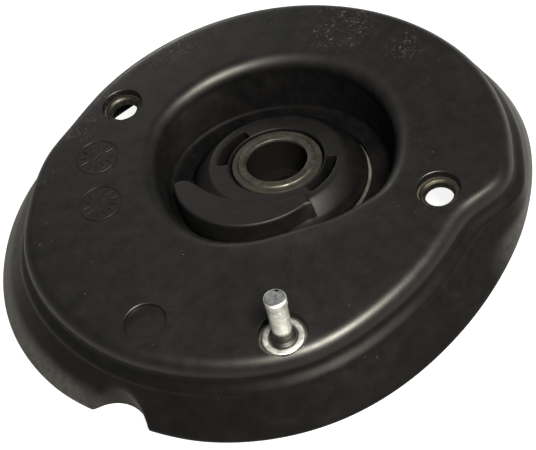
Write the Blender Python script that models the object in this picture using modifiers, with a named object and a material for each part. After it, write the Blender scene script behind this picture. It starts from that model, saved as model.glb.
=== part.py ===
"""Strut mount: a moulded rubber dish over a pressed steel carrier, with a bonded bush in its well.

Metres, +Z up. The hem of the skirt stands on z = 0, round the origin. The dish's outlines and its fixings
are measured from the axis of the fixing circle, which an empty places beside the origin.
The well, the bush and the sleeve share the strut's axis, which leans a few degrees to the top face.
"""

import bmesh
import bpy
import math
import numpy as np
from mathutils import Matrix, Vector

GAP = 0.0003

# Fixing circle's axis, placed so that the hem's box is centred on the origin
FIXING_X = -0.0024
FIXING_Y = -0.0008

# Dish, as stations of (angle in degrees, radius) around the fixing axis
PLATE_HEIGHT = 0.030
PLATE_RADIUS = 0.100
HEM_RADIUS = 0.110
PLATE_STATIONS = (
    (0, 0.0106), (15, 0.0113), (30, 0.0104), (60, 0.0070), (90, 0.0018), (120, -0.0031),
    (135, -0.0048), (148, -0.0026), (162, -0.0024), (180, -0.0012), (210, -0.0050), (240, -0.0082),
    (270, -0.0086), (295, -0.0110), (318, -0.0098), (328, -0.0062), (338, 0.0065), (348, 0.0090),
)
HEM_STATIONS = (
    (0, 0.0105), (12, 0.0130), (25, 0.0130), (45, 0.0070), (70, 0.0000), (95, -0.0030),
    (120, -0.0020), (145, 0.0040), (165, 0.0060), (185, 0.0059), (205, 0.0026), (225, -0.0027),
    (245, -0.0034), (270, -0.0044), (300, -0.0061), (320, -0.0038), (340, 0.0026),
)
RUBBER_WALL = 0.0035
SHOULDER_FILLET = 0.0055
SHOULDER_DROP = 0.0085
WAIST_DROP = 0.0120
WAIST_STEP = 0.0042
HEM_WIDTH = 0.0045
HEM_ROUND = 0.0010
DISH_STEP = 6.0
NOTCH_STEP = 1.2

# Scooped notch in the skirt, a round channel pressed into it from outside
NOTCH_ANGLE = -136.0
NOTCH_RADIUS = 0.0154
NOTCH_DEPTH_RADIUS = 0.0994

# Strut axis: where it meets the top face, and how it leans
AXIS_X = 0.0145
AXIS_Y = 0.0125
AXIS_TILT = 7.4
AXIS_TOWARDS = 58.0

# Well round the strut axis, flattened on its near side, as stations of (angle in degrees, radius)
WELL_STATIONS = (
    (0, 0.0), (60, 0.0), (100, 0.0004), (120, 0.0012), (134, 0.0016), (150, 0.0008), (172, 0.0), (205, 0.0),
    (225, -0.0006), (243, -0.0026), (258, -0.0048), (272, -0.0056), (285, -0.0040), (300, -0.0030),
    (312, -0.0004), (325, 0.0004), (340, 0.0),
)
WELL_RADIUS = 0.0500
WELL_FOOT_RADIUS = 0.0475
WELL_DEPTH = 0.0180
WELL_LINER = 0.0020
WELL_LIP = 0.0070
WELL_FLOOR_CLEARANCE = 0.0005
WELL_CORNER = 0.0020

# Steel carrier under the rubber
STEEL = 0.0025
CARRIER_RIM_DROP = 0.0120
LEAST_BEND = 0.0005

# Bush in the well, down the strut axis from the top face
SLEEVE_TOP = 0.0067
SLEEVE_LENGTH = 0.0208
SLEEVE_BORE = 0.0131
SLEEVE_SEAT_STEP = 0.0041
SLEEVE_SEAT = 0.0030
SLEEVE_WALL = 0.0037
SLEEVE_FACE_WALL = 0.0033
SLEEVE_FLANGE_WALL = 0.0062
SLEEVE_FLANGE = 0.0035
SLEEVE_STEP = 0.0009
SLEEVE_CHAMFER = 0.0006
GROOVE = 0.0010
BUSH_RING_SINK = 0.0002
BUSH_RING_RADIUS = 0.0285
BUSH_KNEE_RADIUS = 0.0355
BUSH_KNEE_DROP = 0.0056
BUSH_OVERHANG = 0.0018
BUSH_FLANGE_DROP = 0.0120
BUSH_EDGE = 0.0024
SHELL_RADIUS = 0.0362
SHELL_WALL = 0.0022
SLOT_WALL = 0.0007
SLOT_WIDTH = 0.0046
SLOT_ARC = 54.0
SLOT_ANGLE = 138.0

# Crescent stop on the bush, between two offset circles
CRESCENT_RADIUS = 0.0333
CRESCENT_X = -0.0120
CRESCENT_Y = -0.0040
CRESCENT_INNER_RADIUS = 0.0472
CRESCENT_INNER_X = 0.0059
CRESCENT_INNER_Y = 0.0189
CRESCENT_TOP = 0.0045
CRESCENT_END = -77.0
CRESCENT_STEP_OUT = 0.0050
CRESCENT_STEP_IN = 0.0017
CRESCENT_FOOT_STEP = 0.0005
CRESCENT_ARC = (168.0, 300.0)
CRESCENT_INNER_ARC = (255.0, 208.0)

# Fixings on the top face
RIGHT_HOLE = (0.0708, -0.0358)
LEFT_HOLE = (-0.0431, 0.0658)
STUD_PLACE = (-0.0055, -0.0788)
BLIND_PLACE = (-0.0552, -0.0533)
HOLE_RECESS_CLEARANCE = 0.0010
BLIND_RADIUS = 0.0085
BLIND_DEPTH = 0.0015
STUD_RECESS_CLEARANCE = 0.0014
COLLAR_RADIUS = 0.0079
COLLAR_BORE = 0.0058
COLLAR_FLANGE = 0.0009
COLLAR_WALL = 0.0012
COLLAR_CHAMFER = 0.0004
COLLAR_LEAD = 0.0010
STUD_RADIUS = 0.0040
STUD_HEIGHT = 0.0235
STUD_LEAN = 3.5
STUD_TIP_RADIUS = 0.0043
STUD_TIP = 0.0045
STUD_CHAMFER = 0.0009
STUD_FOOT_RADIUS = 0.0051
STUD_FOOT = 0.0011
STUD_HEAD_RADIUS = 0.0054
STUD_HEAD = 0.0026
STUD_CLEARANCE = 0.0006
WASHER_RADIUS = 0.0084
WASHER_THICKNESS = 0.0018
WASHER_CHAMFER = 0.0004

RADIAL_STEPS = 48


def clear_scene():
    for item in list(bpy.data.objects):
        bpy.data.objects.remove(item, do_unlink=True)


def make_collection(name, hidden=False):
    group = bpy.data.collections.new(name)
    bpy.context.scene.collection.children.link(group)
    group.hide_render = hidden
    return group


def make_material(name, color, roughness, metallic):
    material = bpy.data.materials.new(name)
    material.use_nodes = True
    shader = material.node_tree.nodes["Principled BSDF"]
    shader.inputs["Base Color"].default_value = (*color, 1.0)
    shader.inputs["Roughness"].default_value = roughness
    shader.inputs["Metallic"].default_value = metallic
    return material


def smooth_closed(stations, angles):
    """Radius offsets at the angles, on a closed cubic curve through the stations."""
    known = np.array([angle for angle, _ in stations], float)
    value = np.array([offset for _, offset in stations], float)
    known = np.concatenate([known[-2:] - 360, known, known[:2] + 360])
    value = np.concatenate([value[-2:], value, value[:2]])
    slope = (value[2:] - value[:-2]) / (known[2:] - known[:-2])
    at = np.mod(angles, 360)
    span = np.clip(np.searchsorted(known, at, side="right") - 1, 1, len(known) - 3)
    width = known[span + 1] - known[span]
    t = (at - known[span]) / width
    start = (2 * t**3 - 3 * t**2 + 1) * value[span] + (t**3 - 2 * t**2 + t) * width * slope[span - 1]
    end = (3 * t**2 - 2 * t**3) * value[span + 1] + (t**3 - t**2) * width * slope[span]
    return start + end


def dish_angles():
    """Even steps round the dish, with finer ones across the notch."""
    half = math.degrees(math.asin(NOTCH_RADIUS / notch_centre()))
    coarse = np.arange(0, 360, DISH_STEP)
    fine = np.arange(-half - NOTCH_STEP, half + 2 * NOTCH_STEP, NOTCH_STEP) + NOTCH_ANGLE % 360
    outside = (coarse < fine[0] - NOTCH_STEP) | (coarse > fine[-1] + NOTCH_STEP)
    return np.sort(np.concatenate([coarse[outside], fine]))


def notch_centre():
    return NOTCH_DEPTH_RADIUS + NOTCH_RADIUS


def strut_frame():
    """Matrix with its origin where the strut axis meets the top face, and +Z up that axis."""
    towards = math.radians(AXIS_TOWARDS)
    hinge = Vector((-math.sin(towards), math.cos(towards), 0))
    turn = Matrix.Rotation(math.radians(AXIS_TILT), 4, hinge)
    return Matrix.Translation((AXIS_X, AXIS_Y, PLATE_HEIGHT)) @ turn


def dish_ring(angles, radius, drop, inset=0.0):
    """A ring round the fixing axis, drop below the top face, pushed in by the notch."""
    away = np.radians(angles - NOTCH_ANGLE)
    reach = NOTCH_RADIUS**2 - (notch_centre() * np.sin(away)) ** 2
    in_notch = (reach > 0) & (np.cos(away) > 0)
    notch = notch_centre() * np.cos(away) - np.sqrt(np.maximum(reach, 0)) - inset
    radius = np.where(in_notch, np.minimum(radius, notch), radius)
    turn = np.radians(angles)
    height = np.full(len(angles), PLATE_HEIGHT - drop)
    return np.column_stack([radius * np.cos(turn), radius * np.sin(turn), height])


def lip_ring(angles, radius, drop):
    """A level ring round the top of the well."""
    turn = np.radians(angles)
    height = np.full(len(angles), PLATE_HEIGHT - drop)
    return np.column_stack([AXIS_X + radius * np.cos(turn), AXIS_Y + radius * np.sin(turn), height])


def axis_ring(angles, radius, depth):
    """A ring square to the strut axis, depth down it from the top face."""
    frame = np.array(strut_frame())
    turn = np.radians(angles)
    local = np.column_stack([radius * np.cos(turn), radius * np.sin(turn), np.full(len(angles), -depth)])
    return local @ frame[:3, :3].T + frame[:3, 3]


def loft(name, rings, material, group):
    """A closed solid through closed rings whose last one joins the first."""
    count, around = len(rings), len(rings[0])
    points = np.concatenate(rings)
    row, step = np.meshgrid(np.arange(count), np.arange(around), indexing="ij")
    after, beside = (row + 1) % count, (step + 1) % around
    quads = np.stack([row * around + step, after * around + step], -1)
    quads = np.concatenate([quads, np.stack([after * around + beside, row * around + beside], -1)], -1)
    mesh = bpy.data.meshes.new(name)
    mesh.from_pydata(points.tolist(), [], quads.reshape(-1, 4).tolist())
    return finish_mesh(name, mesh, material, group)


def finish_mesh(name, mesh, material, group):
    work = bmesh.new()
    work.from_mesh(mesh)
    bmesh.ops.recalc_face_normals(work, faces=work.faces[:])
    work.to_mesh(mesh)
    work.free()
    if material:
        mesh.materials.append(material)
    mesh.shade_smooth()
    mesh.set_sharp_from_angle(angle=math.radians(35))
    item = bpy.data.objects.new(name, mesh)
    group.objects.link(item)
    return item


def turned(name, profile, material, group, matrix, steps=RADIAL_STEPS):
    """A closed (radius, height) profile, swept round local Z by a Screw modifier."""
    mesh = bpy.data.meshes.new(name)
    points = [(radius, 0.0, height) for radius, height in profile]
    edges = [(k, (k + 1) % len(points)) for k in range(len(points))]
    mesh.from_pydata(points, edges, [])
    mesh.materials.append(material)
    item = bpy.data.objects.new(name, mesh)
    group.objects.link(item)
    item.matrix_world = matrix
    screw = item.modifiers.new("Turn", "SCREW")
    screw.steps = steps
    screw.render_steps = steps
    screw.use_merge_vertices = True
    screw.merge_threshold = 0.00001
    screw.use_normal_calculate = False
    screw.use_smooth_shade = False
    return item


def cylinder(name, radius, length, matrix, group, material=None, steps=RADIAL_STEPS):
    """A plain cylinder centred on the matrix, along its Z."""
    mesh = bpy.data.meshes.new(name)
    work = bmesh.new()
    bmesh.ops.create_cone(work, cap_ends=True, segments=steps, radius1=radius, radius2=radius, depth=length)
    work.to_mesh(mesh)
    work.free()
    item = bpy.data.objects.new(name, mesh)
    if material:
        mesh.materials.append(material)
    group.objects.link(item)
    item.matrix_world = matrix
    return item


def as_cutter(item):
    item.hide_render = True
    item.display_type = "WIRE"
    return item


def add_boolean(item, other, operation):
    cut = item.modifiers.new(other.name, "BOOLEAN")
    cut.operation = operation
    cut.solver = "EXACT"
    cut.object = other
    return cut


def bend_turns(inset):
    """Angles of the rings over a bend: finer on the outside, where the bend is widest."""
    return (0, 45, 90) if inset else (0, 22.5, 45, 67.5, 90)


def plate_radius(angles):
    return PLATE_RADIUS + smooth_closed(PLATE_STATIONS, angles)


def hem_radius(angles):
    return HEM_RADIUS + smooth_closed(HEM_STATIONS, angles)


def collar_inside():
    """Inner radius of the carrier's collar, which the bush's shell is pressed into."""
    return SHELL_RADIUS + GAP


def floor_hole():
    """Radius of the hole in the rubber of the well's floor, round the collar."""
    return collar_inside() + STEEL + WELL_FLOOR_CLEARANCE


def well_floor(inset):
    """Depth of the well's floor for an inset, where the rubber is thinner than on the wall."""
    return WELL_DEPTH + max(inset - RUBBER_WALL + WELL_LINER, 0)


def well_surface(angles, inset=0.0):
    """Rings up the well's wall and over its lip, inset into the rubber by a distance."""
    corner = WELL_CORNER
    floor = well_floor(inset)
    uneven = smooth_closed(WELL_STATIONS, angles)
    foot = WELL_FOOT_RADIUS + inset + uneven / 2
    lip = WELL_LIP - inset
    rings = [axis_ring(angles, floor_hole(), floor), axis_ring(angles, foot - corner, floor)]
    rings.append(axis_ring(angles, foot, floor - corner))
    for turn in np.radians(bend_turns(inset)):
        radius = WELL_RADIUS + uneven + WELL_LIP - lip * math.cos(turn)
        rings.append(lip_ring(angles, radius, WELL_LIP - lip * math.sin(turn)))
    return rings


def shoulder_surface(angles, inset=0.0):
    """Rings over the rounded shoulder and down its short steep wall."""
    edge = plate_radius(angles)
    fillet = SHOULDER_FILLET - inset
    rings = []
    for turn in np.radians(bend_turns(inset)):
        radius = edge - SHOULDER_FILLET + fillet * math.sin(turn)
        rings.append(dish_ring(angles, radius, SHOULDER_FILLET - fillet * math.cos(turn), inset))
    return rings


def skirt_surface(angles, inset=0.0):
    """Rings from the steep wall through the waist and down the flare to the hem."""
    edge = plate_radius(angles) - inset
    hem = hem_radius(angles) - inset
    waist = edge + WAIST_STEP
    turn = (SHOULDER_DROP + WAIST_DROP) / 2
    rings = [dish_ring(angles, edge + WAIST_STEP / 12, SHOULDER_DROP, inset)]
    rings.append(dish_ring(angles, edge + WAIST_STEP * 5 / 12, turn, inset))
    for share in (0.0, 1 / 3, 2 / 3):
        drop = WAIST_DROP + share * (PLATE_HEIGHT - WAIST_DROP)
        rings.append(dish_ring(angles, waist + share * (hem - waist), drop, inset))
    return rings


def hem_surface(angles):
    """Rings round the rounded lip of the hem."""
    hem = hem_radius(angles)
    rings = [dish_ring(angles, hem, PLATE_HEIGHT - 2 * HEM_ROUND)]
    rings.append(dish_ring(angles, hem, PLATE_HEIGHT - HEM_ROUND))
    rings.append(dish_ring(angles, hem - HEM_ROUND, PLATE_HEIGHT, HEM_ROUND))
    rings.append(dish_ring(angles, hem - HEM_WIDTH, PLATE_HEIGHT, HEM_WIDTH))
    return rings


def make_cover(material, group, cutters):
    angles = dish_angles()
    outside = well_surface(angles) + shoulder_surface(angles) + skirt_surface(angles) + hem_surface(angles)
    wall = RUBBER_WALL
    inside = skirt_surface(angles, wall)[::-1] + shoulder_surface(angles, wall)[::-1]
    inside += well_surface(angles, wall)[::-1]
    cover = loft("rubber_cover", outside + inside, material, group)
    deep = 2 * (RUBBER_WALL + GAP)
    recess = COLLAR_RADIUS + HOLE_RECESS_CLEARANCE
    for name, place, radius in (
        ("right_recess", RIGHT_HOLE, recess),
        ("left_recess", LEFT_HOLE, recess),
        ("stud_recess", STUD_PLACE, WASHER_RADIUS + STUD_RECESS_CLEARANCE),
    ):
        matrix = Matrix.Translation((*place, PLATE_HEIGHT))
        add_boolean(cover, as_cutter(cylinder(name, radius, deep, matrix, cutters)), "DIFFERENCE")
    matrix = Matrix.Translation((*BLIND_PLACE, PLATE_HEIGHT))
    blind = as_cutter(cylinder("blind_recess", BLIND_RADIUS, 2 * BLIND_DEPTH, matrix, cutters))
    add_boolean(cover, blind, "DIFFERENCE")
    return cover


def carrier_top():
    return PLATE_HEIGHT - RUBBER_WALL - GAP


def make_carrier(material, group, cutters):
    """The pressed steel dish: upturned collar, well, flat and rim, under the rubber all over."""
    angles = np.arange(0, 360, DISH_STEP)
    upper = RUBBER_WALL + GAP
    lower = upper + STEEL
    collar = collar_inside()
    rings = [axis_ring(angles, collar, well_floor(lower)), axis_ring(angles, collar, shell_top())]
    rings += [axis_ring(angles, collar + STEEL, shell_top())]
    rings += [axis_ring(angles, collar + STEEL, well_floor(upper))]
    rings += well_surface(angles, upper)[1:] + carrier_shoulder(angles, upper)
    rings += carrier_shoulder(angles, lower)[::-1] + well_surface(angles, lower)[:0:-1]
    carrier = loft("carrier_plate", rings, material, group)
    deep = 6 * STEEL
    spigot = COLLAR_BORE + COLLAR_WALL
    for name, place, radius in (
        ("right_bush_hole", RIGHT_HOLE, spigot + GAP),
        ("left_bush_hole", LEFT_HOLE, spigot + GAP),
        ("stud_hole", STUD_PLACE, STUD_RADIUS + STUD_CLEARANCE),
    ):
        matrix = Matrix.Translation((*place, carrier_top() - STEEL / 2))
        add_boolean(carrier, as_cutter(cylinder(name, radius, deep, matrix, cutters)), "DIFFERENCE")
    return carrier


def carrier_shoulder(angles, inset):
    """Rings over the carrier's shoulder and down to the end of its rim, which clears the notch."""
    edge = np.minimum(plate_radius(angles), hem_radius(angles))
    fillet = max(SHOULDER_FILLET - inset, LEAST_BEND)
    start = edge - inset - fillet
    rings = []
    for turn in np.radians([0, 45, 90]):
        drop = inset + fillet - fillet * math.cos(turn)
        rings.append(dish_ring(angles, start + fillet * math.sin(turn), drop, inset))
    rings.append(dish_ring(angles, edge - inset, CARRIER_RIM_DROP, inset))
    return rings


def shell_top():
    """Depth of the bush shell's top edge, which the bush's flange covers."""
    return SLEEVE_TOP + BUSH_FLANGE_DROP


def collar_bottom():
    """Depth of the carrier's underside round its collar, where the bush and its shell end too."""
    return well_floor(RUBBER_WALL + GAP + STEEL)


def sleeve_flange():
    return SLEEVE_BORE + SLEEVE_FLANGE_WALL


def sleeve_body():
    return SLEEVE_BORE + SLEEVE_WALL


def groove_radius():
    """Outer radius of the open groove round the sleeve's flange."""
    return sleeve_flange() + GROOVE


def make_sleeve(material, group, frame):
    """Turned steel sleeve: stepped, chamfered flange at its head, and a seat for the rod at its foot."""
    top = -SLEEVE_TOP
    chamfer = SLEEVE_CHAMFER
    face, flange, body = SLEEVE_BORE + SLEEVE_FACE_WALL, sleeve_flange(), sleeve_body()
    seat = SLEEVE_BORE - SLEEVE_SEAT_STEP
    profile = [
        (SLEEVE_BORE + chamfer, top),
        (face, top),
        (face + chamfer, top - SLEEVE_STEP),
        (flange - chamfer, top - SLEEVE_STEP),
        (flange, top - SLEEVE_STEP - chamfer),
        (flange, top - SLEEVE_FLANGE),
        (body, top - SLEEVE_FLANGE),
        (body, top - SLEEVE_LENGTH),
        (seat, top - SLEEVE_LENGTH),
        (seat, top - SLEEVE_LENGTH + SLEEVE_SEAT),
        (SLEEVE_BORE, top - SLEEVE_LENGTH + SLEEVE_SEAT),
        (SLEEVE_BORE, top - chamfer),
    ]
    return turned("inner_sleeve", profile, material, group, frame)


def make_bush(material, group, cutters, frame):
    """Rubber bush: flat head, cone down to a flange, neck inside the shell, two slots and the crescent."""
    groove = groove_radius()
    body = sleeve_body() + GAP
    seat = SLEEVE_TOP + SLEEVE_FLANGE + GAP
    ring = SLEEVE_TOP + BUSH_RING_SINK
    flange = SLEEVE_TOP + BUSH_FLANGE_DROP - GAP
    flange_radius = SHELL_RADIUS + BUSH_OVERHANG
    neck = SHELL_RADIUS - SHELL_WALL - GAP
    bottom = collar_bottom()
    round_off = GROOVE / 2
    profile = [
        (groove, -ring - 2 * SLEEVE_STEP),
        (groove, -ring - round_off),
        (groove + round_off, -ring),
        (BUSH_RING_RADIUS, -ring),
        (BUSH_RING_RADIUS + 2 * round_off, -ring - round_off),
        (BUSH_KNEE_RADIUS, -ring - BUSH_KNEE_DROP),
        (flange_radius - 2 * round_off, -flange + BUSH_EDGE + 2 * round_off),
        (flange_radius, -flange + BUSH_EDGE),
        (flange_radius, -flange),
        (neck, -flange),
        (neck, -bottom),
        (body, -bottom),
        (body, -seat),
        (groove, -seat),
    ]
    bush = turned("rubber_bush", profile, material, group, frame)
    add_boolean(bush, as_cutter(make_crescent(material, cutters, frame)), "UNION")
    for side, angle in (("left", SLOT_ANGLE), ("right", SLOT_ANGLE + 180)):
        add_boolean(bush, as_cutter(make_slot(side + "_slot", angle, cutters, frame)), "DIFFERENCE")
    return bush


def arc_points(centre, radius, start, end, count):
    angles = np.radians(np.linspace(start, end, count))
    return [(centre[0] + radius * math.cos(a), centre[1] + radius * math.sin(a)) for a in angles]


def prism(name, foot, top, low, high, material, group, matrix):
    """A solid between two heights, from the outline of its foot to that of its top."""
    count = len(top)
    points = [(x, y, low) for x, y in foot] + [(x, y, high) for x, y in top]
    faces = [tuple(range(count)), tuple(range(count, 2 * count))]
    for k in range(count):
        beside = (k + 1) % count
        faces.append((k, beside, count + beside, count + k))
    mesh = bpy.data.meshes.new(name)
    mesh.from_pydata(points, [], faces)
    item = finish_mesh(name, mesh, material, group)
    item.matrix_world = matrix
    return item


def make_crescent(material, group, frame):
    """The raised crescent, from its left tip to its right end, where its wall leans out to the knee."""
    outer = arc_points((CRESCENT_X, CRESCENT_Y), CRESCENT_RADIUS, *CRESCENT_ARC, 23)
    end = math.radians(CRESCENT_END)
    reach = BUSH_RING_RADIUS + CRESCENT_STEP_OUT
    kept = [p for p in outer if math.atan2(p[1], p[0]) < end or p[0] < 0]
    kept.append((reach * math.cos(end), reach * math.sin(end)))
    inner_reach = BUSH_RING_RADIUS - CRESCENT_STEP_IN
    inner = [(inner_reach * math.cos(end), inner_reach * math.sin(end))]
    inner_centre = (CRESCENT_INNER_X, CRESCENT_INNER_Y)
    inner += arc_points(inner_centre, CRESCENT_INNER_RADIUS, *CRESCENT_INNER_ARC, 12)
    least = BUSH_KNEE_RADIUS + CRESCENT_FOOT_STEP
    spread = [max(1.0, least / math.hypot(x, y)) for x, y in kept]
    foot = [(x * share, y * share) for (x, y), share in zip(kept, spread)]
    low = -(SLEEVE_TOP + BUSH_FLANGE_DROP - GAP - BUSH_EDGE)
    return prism("crescent_stop", foot + inner, kept + inner, low, -CRESCENT_TOP, material, group, frame)


def make_slot(name, angle, group, frame):
    """Cutter for one of the two curved slots beside the sleeve."""
    start, end = angle - SLOT_ARC / 2, angle + SLOT_ARC / 2
    inner = groove_radius() + SLOT_WALL
    outline = arc_points((0, 0), inner + SLOT_WIDTH, start, end, 12)
    outline += arc_points((0, 0), inner, end, start, 12)
    return prism(name, outline, outline, -2 * collar_bottom(), collar_bottom(), None, group, frame)


def make_shell(material, group, frame):
    """Steel outer shell of the bush, pressed into the carrier's collar."""
    top, bottom = -shell_top(), -collar_bottom()
    inner, outer = SHELL_RADIUS - SHELL_WALL, SHELL_RADIUS
    profile = [(inner, top), (outer, top), (outer, bottom), (inner, bottom)]
    return turned("bush_shell", profile, material, group, frame)


def make_collar(name, place, material, group):
    """Flanged steel bush for a fixing bolt, seated on the carrier in its recess."""
    seat = GAP
    spigot = COLLAR_BORE + COLLAR_WALL
    profile = [
        (COLLAR_BORE + COLLAR_LEAD, seat + COLLAR_FLANGE),
        (COLLAR_RADIUS - COLLAR_CHAMFER, seat + COLLAR_FLANGE),
        (COLLAR_RADIUS, seat + COLLAR_FLANGE - COLLAR_CHAMFER),
        (COLLAR_RADIUS, seat),
        (spigot, seat),
        (spigot, -STEEL - GAP),
        (COLLAR_BORE, -STEEL - GAP),
        (COLLAR_BORE, seat + COLLAR_FLANGE - COLLAR_LEAD),
    ]
    return turned(name, profile, material, group, Matrix.Translation((*place, carrier_top())), 40)


def stud_matrix():
    turn = Matrix.Rotation(math.radians(STUD_LEAN), 4, "Y")
    return Matrix.Translation((*STUD_PLACE, carrier_top())) @ turn


def make_stud(material, group):
    """Stud with a head under the carrier, a foot on it, and a plain chamfered tip above the thread."""
    tip = STUD_HEIGHT + PLATE_HEIGHT - carrier_top()
    rise = STUD_FOOT_RADIUS * math.sin(math.radians(STUD_LEAN))
    under = -STEEL - GAP - rise
    foot = GAP + rise
    profile = [
        (0.0, tip),
        (STUD_TIP_RADIUS - STUD_CHAMFER, tip),
        (STUD_TIP_RADIUS, tip - STUD_CHAMFER),
        (STUD_TIP_RADIUS, tip - STUD_TIP),
        (STUD_RADIUS, tip - STUD_TIP - STUD_CHAMFER),
        (STUD_RADIUS, foot + 2 * STUD_FOOT),
        (STUD_FOOT_RADIUS, foot + STUD_FOOT),
        (STUD_FOOT_RADIUS, foot),
        (STUD_RADIUS, foot),
        (STUD_RADIUS, under),
        (STUD_HEAD_RADIUS, under),
        (STUD_HEAD_RADIUS, under - STUD_HEAD),
        (0.0, under - STUD_HEAD),
    ]
    return turned("stud", profile, material, group, stud_matrix(), 32)


def make_washer(material, group):
    """Bright eyelet round the stud, lying on the carrier in the stud's recess."""
    inner = STUD_FOOT_RADIUS + STUD_CLEARANCE
    bevel = WASHER_CHAMFER
    profile = [
        (inner + bevel, GAP + WASHER_THICKNESS),
        (WASHER_RADIUS - bevel, GAP + WASHER_THICKNESS),
        (WASHER_RADIUS, GAP + WASHER_THICKNESS - bevel),
        (WASHER_RADIUS, GAP),
        (inner, GAP),
        (inner, GAP + WASHER_THICKNESS - bevel),
    ]
    place = Matrix.Translation((*STUD_PLACE, carrier_top()))
    return turned("stud_washer", profile, material, group, place, 40)


def build():
    clear_scene()
    group = make_collection("strut_mount")
    cutters = make_collection("cutters", hidden=True)
    rubber = make_material("black_rubber", (0.022, 0.022, 0.023), 0.62, 0.0)
    bush_rubber = make_material("bush_rubber", (0.028, 0.027, 0.026), 0.55, 0.0)
    steel = make_material("pressed_steel", (0.32, 0.31, 0.29), 0.45, 1.0)
    sleeve_steel = make_material("sleeve_steel", (0.30, 0.27, 0.22), 0.42, 1.0)
    collar_steel = make_material("collar_steel", (0.50, 0.47, 0.40), 0.40, 1.0)
    zinc = make_material("zinc_plate", (0.72, 0.73, 0.72), 0.30, 1.0)
    frame = strut_frame()
    make_cover(rubber, group, cutters)
    make_carrier(steel, group, cutters)
    make_bush(bush_rubber, group, cutters, frame)
    make_shell(steel, group, frame)
    make_sleeve(sleeve_steel, group, frame)
    make_collar("right_collar", RIGHT_HOLE, collar_steel, group)
    make_collar("left_collar", LEFT_HOLE, collar_steel, group)
    make_stud(zinc, group)
    make_washer(zinc, group)
    axis = bpy.data.objects.new("fixing_axis", None)
    axis.location = (FIXING_X, FIXING_Y, 0)
    for item in list(group.objects) + list(cutters.objects):
        item.parent = axis
    group.objects.link(axis)


build()
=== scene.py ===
"""Strut mount, dressed: black moulded rubber over pressed steel, a bonded bush, collars and a bright stud.

Metres, +Z up, in the frame of the solids. The dish and its fixings are laid out round the axis of the fixing
circle; the well, the bush and the sleeve share the strut's axis, which leans a few degrees to the top face.
"""

import math

import bmesh
import bpy
import numpy as np
from mathutils import Matrix, Vector


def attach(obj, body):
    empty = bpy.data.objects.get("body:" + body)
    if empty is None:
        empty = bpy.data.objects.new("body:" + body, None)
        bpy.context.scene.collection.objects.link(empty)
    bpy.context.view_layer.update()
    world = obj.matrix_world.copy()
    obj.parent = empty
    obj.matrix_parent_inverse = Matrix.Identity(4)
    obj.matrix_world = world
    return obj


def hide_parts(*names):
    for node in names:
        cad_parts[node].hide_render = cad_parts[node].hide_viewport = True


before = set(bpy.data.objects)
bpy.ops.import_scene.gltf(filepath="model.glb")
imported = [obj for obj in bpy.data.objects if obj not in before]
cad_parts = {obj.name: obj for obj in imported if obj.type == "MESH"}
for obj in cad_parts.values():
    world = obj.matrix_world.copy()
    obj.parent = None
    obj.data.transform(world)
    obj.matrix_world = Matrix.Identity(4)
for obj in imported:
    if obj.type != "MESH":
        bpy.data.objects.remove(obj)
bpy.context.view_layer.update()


# The pressed steel carrier: one sheet drawn to a shallow dish, with a deep well and an upturned collar that
# the bush's shell is pressed into. It is plain steel, dull and a little stained, and shows from below and
# down the bolt holes.
FIXING_CENTRE = np.array([-0.0024, -0.0008, 0.0])
TOP = 0.030
STRUT_PLACE = np.array([0.0145, 0.0125, TOP])
STRUT_TILT = math.radians(7.4)
STRUT_TOWARDS = math.radians(58.0)

# An outline is a list of (angle, how far the edge stands out past its radius there).
WELL_OUTLINE = (
    (0, 0.0), (60, 0.0003), (90, 0.0010), (120, 0.0030), (134, 0.0040), (150, 0.0034),
    (172, 0.0014), (205, 0.0), (225, -0.0012), (243, -0.0038), (258, -0.0060), (272, -0.0066),
    (285, -0.0050), (300, -0.0030), (312, -0.0004), (325, 0.0004), (340, 0.0),
)
WELL_WALL = 0.0500
WELL_FOOT = 0.0475
WELL_FOOT_SHARE = 0.5
WELL_DEPTH = 0.0180
WELL_LIP = 0.0070
WELL_LIP_SHARE = 0.4
WELL_CORNER = 0.0020
WELL_LINER = 0.0020
PLATE_RADIUS = 0.0998
PLATE_OUTLINE = (
    (0, 0.0106), (15, 0.0113), (30, 0.0104), (60, 0.0070), (90, 0.0018), (120, -0.0031),
    (135, -0.0048), (148, -0.0026), (162, -0.0024), (180, -0.0012), (210, -0.0050), (240, -0.0082),
    (270, -0.0086), (295, -0.0110), (318, -0.0098), (328, -0.0062), (338, 0.0065), (348, 0.0090),
)
NOTCH_ANGLE = math.radians(-136.0)
NOTCH_RADIUS = 0.0154
NOTCH_REACH = 0.0994
NOTCH_SOFTNESS = 0.0016
NOTCH_SPAN = math.radians(16)
RUBBER_WALL = 0.0035
GAP = 0.0003
STEEL = 0.0025
SHELL_RADIUS = 0.0362
SHELL_TOP = 0.0187
FLOOR_HOLE_CLEARANCE = 0.0005
FLOOR_HOLE = SHELL_RADIUS + GAP + STEEL + FLOOR_HOLE_CLEARANCE
SHOULDER_ROUND = 0.0058
RIM_DROP = 0.0120
LEAST_BEND = 0.0008
CARRIER_STEPS = (1.2, 0.8)
CARRIER_ROWS = 6
FULL_TURN = 2 * math.pi


def sweep_angles(step, fine_step):
    """Angles all round, in fine steps over the notch's span on both sides of it and wider ones elsewhere."""
    fine = np.arange(-NOTCH_SPAN, NOTCH_SPAN, math.radians(fine_step))
    rest = FULL_TURN - 2 * NOTCH_SPAN
    count = round(rest / math.radians(step))
    return NOTCH_ANGLE + np.concatenate([fine, NOTCH_SPAN + rest * np.arange(count) / count])


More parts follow.
